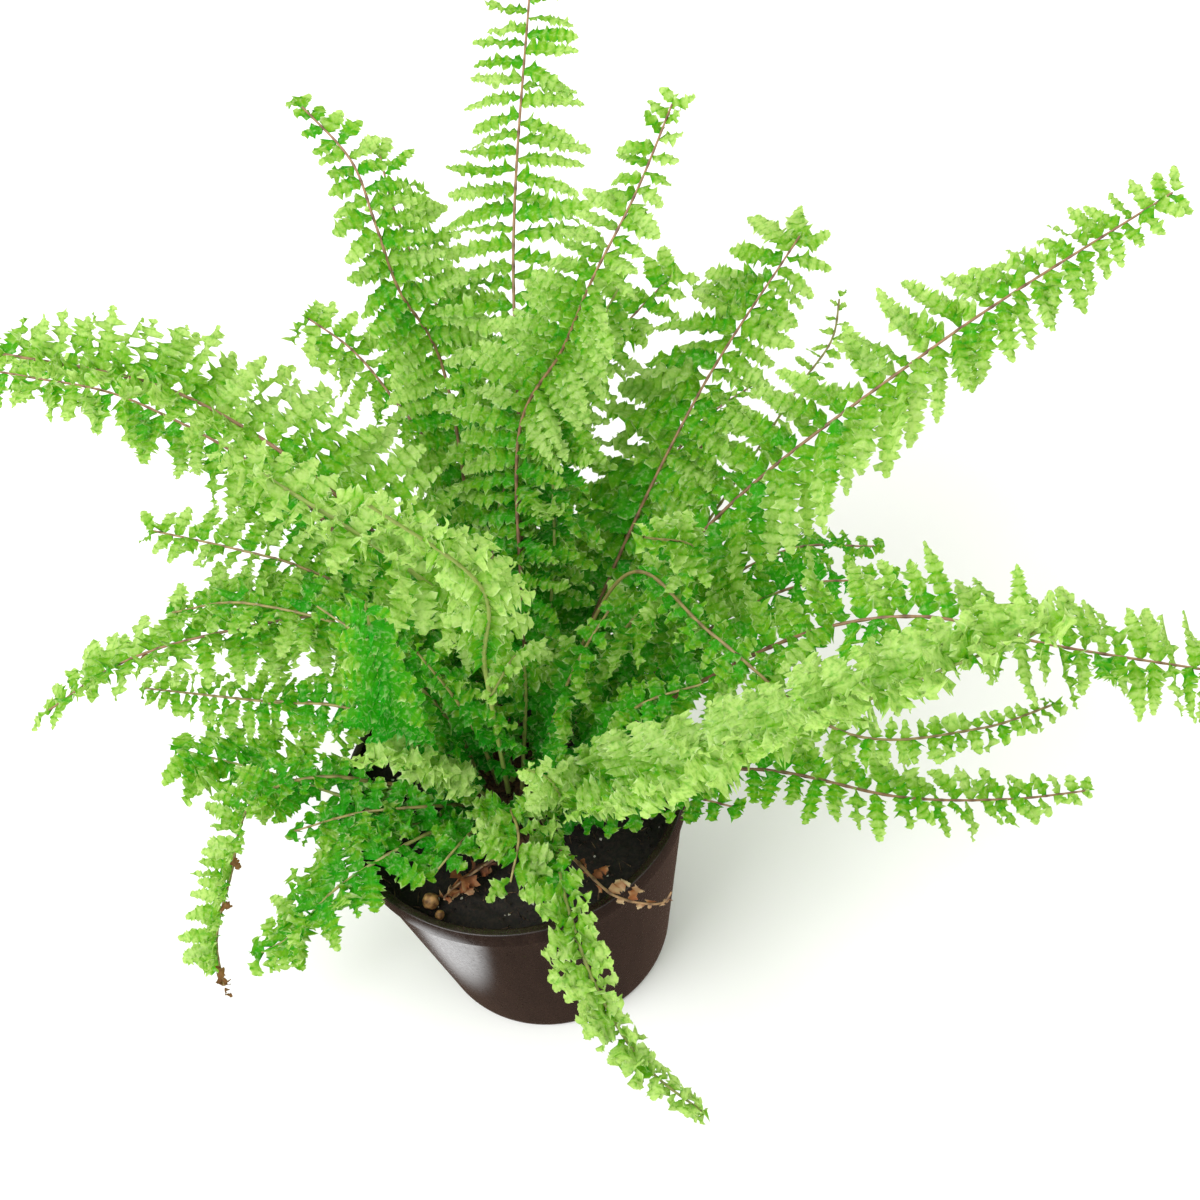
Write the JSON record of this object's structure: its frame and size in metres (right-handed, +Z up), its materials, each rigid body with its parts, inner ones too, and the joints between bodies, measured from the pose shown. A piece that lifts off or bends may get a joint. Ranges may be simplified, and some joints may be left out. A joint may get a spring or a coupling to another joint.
{
  "type": "potted fluffy ruffles boston fern",
  "caption": "Boston fern with ruffled, toothed fronds that arch out of a plain dark plastic nursery pot of peat.",
  "frame": {"origin": "centre of the pot's underside", "axes": "+Z up, -Y towards the side that the picture shows, +X to the right of it"},
  "size_m": [0.3864, 0.2868, 0.2782],
  "materials": {
    "pot_plastic": "thin smooth dark brown plastic with a soft gloss",
    "peat": "moist dark peat with fibres and pale perlite grains",
    "crown_scales": "dry brown scales over the root-stock",
    "pellet_clay": "dull tan grains",
    "green_leaf": "thin, slightly glossy and translucent green leaflets on brown stalks",
    "dry_leaf": "dry, crumpled orange-brown leaf"
  },
  "bodies": {
    "root": {"pot": "pot_plastic", "soil": "peat", "crown": "crown_scales", "pellet_1": "pellet_clay", "pellet_2": "pellet_clay", "pellet_3": "pellet_clay", "frond_back_tall": "green_leaf", "frond_back_left_tall": "green_leaf", "frond_back_left_inner": "green_leaf", "frond_back_right_tall": "green_leaf", "frond_back_right_short": "green_leaf", "frond_back_centre": "green_leaf", "frond_back_mid": "green_leaf", "frond_right_raised": "green_leaf", "frond_right_thin": "green_leaf", "frond_right_long": "green_leaf", "frond_right_level": "green_leaf", "frond_front_right_large": "green_leaf", "frond_right_low": "green_leaf", "frond_right_arching": "green_leaf", "frond_right_inner": "green_leaf", "frond_right_back_low": "green_leaf", "frond_right_short": "green_leaf", "frond_centre_right": "green_leaf", "frond_centre_right_short": "green_leaf", "frond_front_right_short": "green_leaf", "frond_back_right_mid": "green_leaf", "frond_left_long": "green_leaf", "frond_left_long_lower": "green_leaf", "frond_left_pale": "green_leaf", "frond_left_inner": "green_leaf", "frond_left_small": "green_leaf", "frond_left_level": "green_leaf", "frond_left_thin": "green_leaf", "frond_left_low": "green_leaf", "frond_left_mid": "green_leaf", "frond_left_drooping": "green_leaf", "frond_left_short": "green_leaf", "frond_front_left_low": "green_leaf", "frond_front_left_upright": "green_leaf", "frond_front_left_short": "green_leaf", "frond_front_low": "green_leaf", "frond_front_olive": "green_leaf", "frond_front_short": "green_leaf", "frond_front_hanging": "green_leaf", "frond_centre_pale": "green_leaf", "frond_centre_small": "green_leaf", "frond_centre_left": "green_leaf", "frond_centre_short": "green_leaf", "frond_back_left_thin": "green_leaf", "frond_back_low": "green_leaf", "frond_back_left_low": "green_leaf", "frond_back_right_low": "green_leaf", "dead_frond_left": "dry_leaf", "dead_frond_right": "dry_leaf"}
  },
  "joints": []
}
